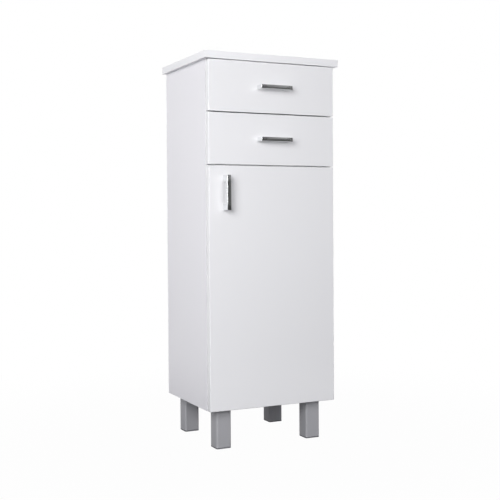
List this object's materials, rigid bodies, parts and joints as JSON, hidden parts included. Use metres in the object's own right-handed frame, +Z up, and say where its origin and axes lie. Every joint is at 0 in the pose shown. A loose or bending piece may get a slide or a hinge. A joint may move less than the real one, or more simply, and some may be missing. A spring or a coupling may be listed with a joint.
{
  "type": "bathroom storage tower",
  "caption": "Narrow white half-height bathroom cabinet on square metal legs, with drawers over a tall hinged door and an overhanging worktop.",
  "frame": {"origin": "middle of the object's plan at floor level: bottom centre of the whole bounding box", "axes": "+Z up, -Y out of the fronts towards the user, +X to the user's right; the door hangs on the +X side"},
  "size_m": [0.372, 0.3134, 0.977],
  "materials": {
    "white_board": "white melamine-faced chipboard, smooth satin",
    "white_front": "fibreboard wrapped in white high-gloss foil",
    "chrome": "polished chrome plating",
    "satin_aluminium": "satin silver-grey anodised",
    "zinc_steel": "bright zinc plated",
    "white_steel": "white powder coat",
    "nylon": "natural moulded nylon",
    "black_plastic": "moulded black plastic",
    "grey_plastic": "moulded grey plastic",
    "soft_clear": "soft clear buffer",
    "hardboard": "hardboard, lacquered white inside, raw brown on the back",
    "beech": "fluted beech dowel"
  },
  "bodies": {
    "cabinet": {"side_panel_left": "white_board", "side_panel_right": "white_board", "bottom_panel": "white_board", "divider_panel": "white_board", "top_rails": "white_board", "worktop": "white_board", "back_panel": "hardboard", "shelf": "white_board", "shelf_pins": "zinc_steel", "carcass_dowels": "beech", "carcass_cam_bolts": "zinc_steel", "carcass_cams": "zinc_steel", "worktop_screws": "zinc_steel", "back_panel_nails": "zinc_steel", "leg_front_left": "satin_aluminium", "leg_front_right": "satin_aluminium", "leg_back_left": "satin_aluminium", "leg_back_right": "satin_aluminium", "leg_plates": "black_plastic", "leg_screws": "zinc_steel", "leg_plugs": "black_plastic", "cabinet_rails": "white_steel", "panel_screws": "zinc_steel", "cabinet_roller_axles": "zinc_steel", "hinge_plates": "zinc_steel", "hinge_arms": "zinc_steel", "hinge_arm_screws": "zinc_steel"},
    "door": {"door_panel": "white_front", "door_handle": "chrome", "door_handle_screws": "zinc_steel", "hinge_cups": "zinc_steel", "hinge_pins": "zinc_steel", "hinge_cup_screws": "zinc_steel", "door_bumpers": "soft_clear"},
    "upper_drawer": {"upper_drawer_front": "white_front", "upper_drawer_side_left": "white_board", "upper_drawer_side_right": "white_board", "upper_drawer_back": "white_board", "upper_drawer_bottom": "white_board", "upper_drawer_handle": "chrome", "upper_drawer_handle_screws": "zinc_steel", "upper_drawer_rails": "white_steel", "upper_drawer_box_screws": "zinc_steel"},
    "lower_drawer": {"lower_drawer_front": "white_front", "lower_drawer_side_left": "white_board", "lower_drawer_side_right": "white_board", "lower_drawer_back": "white_board", "lower_drawer_bottom": "white_board", "lower_drawer_handle": "chrome", "lower_drawer_handle_screws": "zinc_steel", "lower_drawer_rails": "white_steel", "lower_drawer_box_screws": "zinc_steel"},
    "upper_cabinet_rollers": {"upper_cabinet_rollers": "nylon"},
    "upper_drawer_rollers": {"upper_drawer_rollers": "nylon"},
    "lower_cabinet_rollers": {"lower_cabinet_rollers": "nylon"},
    "lower_drawer_rollers": {"lower_drawer_rollers": "nylon"},
    "foot_front_left": {"foot_front_left": "grey_plastic"},
    "foot_front_right": {"foot_front_right": "grey_plastic"},
    "foot_back_left": {"foot_back_left": "grey_plastic"},
    "foot_back_right": {"foot_back_right": "grey_plastic"}
  },
  "joints": [
    {"name": "upper_drawer_slide", "type": "slide", "parent": "cabinet", "child": "upper_drawer", "axis": [0, -1, 0], "range_m": [0, 0.19]},
    {"name": "lower_drawer_slide", "type": "slide", "parent": "cabinet", "child": "lower_drawer", "axis": [0, -1, 0], "range_m": [0, 0.19]},
    {"name": "door_hinge", "type": "hinge", "parent": "cabinet", "child": "door", "pos_m": [0.1675, -0.12365, 0.4], "axis": [0, 0, 1], "range_deg": [0, 95]},
    {"name": "upper_cabinet_roller_turn", "type": "hinge", "parent": "cabinet", "child": "upper_cabinet_rollers", "pos_m": [0, -0.09725, 0.86255], "axis": [1, 0, 0], "range_deg": [0, 1000]},
    {"name": "upper_drawer_roller_turn", "type": "hinge", "parent": "upper_drawer", "child": "upper_drawer_rollers", "pos_m": [0, 0.12425, 0.86255], "axis": [1, 0, 0], "range_deg": [0, 1000]},
    {"name": "lower_cabinet_roller_turn", "type": "hinge", "parent": "cabinet", "child": "lower_cabinet_rollers", "pos_m": [0, -0.09725, 0.73355], "axis": [1, 0, 0], "range_deg": [0, 1000]},
    {"name": "lower_drawer_roller_turn", "type": "hinge", "parent": "lower_drawer", "child": "lower_drawer_rollers", "pos_m": [0, 0.12425, 0.73355], "axis": [1, 0, 0], "range_deg": [0, 1000]},
    {"name": "foot_front_left_level", "type": "slide", "parent": "cabinet", "child": "foot_front_left", "axis": [0, 0, -1], "range_m": [0, 0.01]},
    {"name": "foot_front_right_level", "type": "slide", "parent": "cabinet", "child": "foot_front_right", "axis": [0, 0, -1], "range_m": [0, 0.01]},
    {"name": "foot_back_left_level", "type": "slide", "parent": "cabinet", "child": "foot_back_left", "axis": [0, 0, -1], "range_m": [0, 0.01]},
    {"name": "foot_back_right_level", "type": "slide", "parent": "cabinet", "child": "foot_back_right", "axis": [0, 0, -1], "range_m": [0, 0.01]}
  ],
  "couplings": [
    {"joint": "upper_cabinet_roller_turn", "follows": "upper_drawer_slide", "rad_per_m": 90.909},
    {"joint": "upper_drawer_roller_turn", "follows": "upper_drawer_slide", "rad_per_m": 90.909},
    {"joint": "lower_cabinet_roller_turn", "follows": "lower_drawer_slide", "rad_per_m": 90.909},
    {"joint": "lower_drawer_roller_turn", "follows": "lower_drawer_slide", "rad_per_m": 90.909}
  ]
}
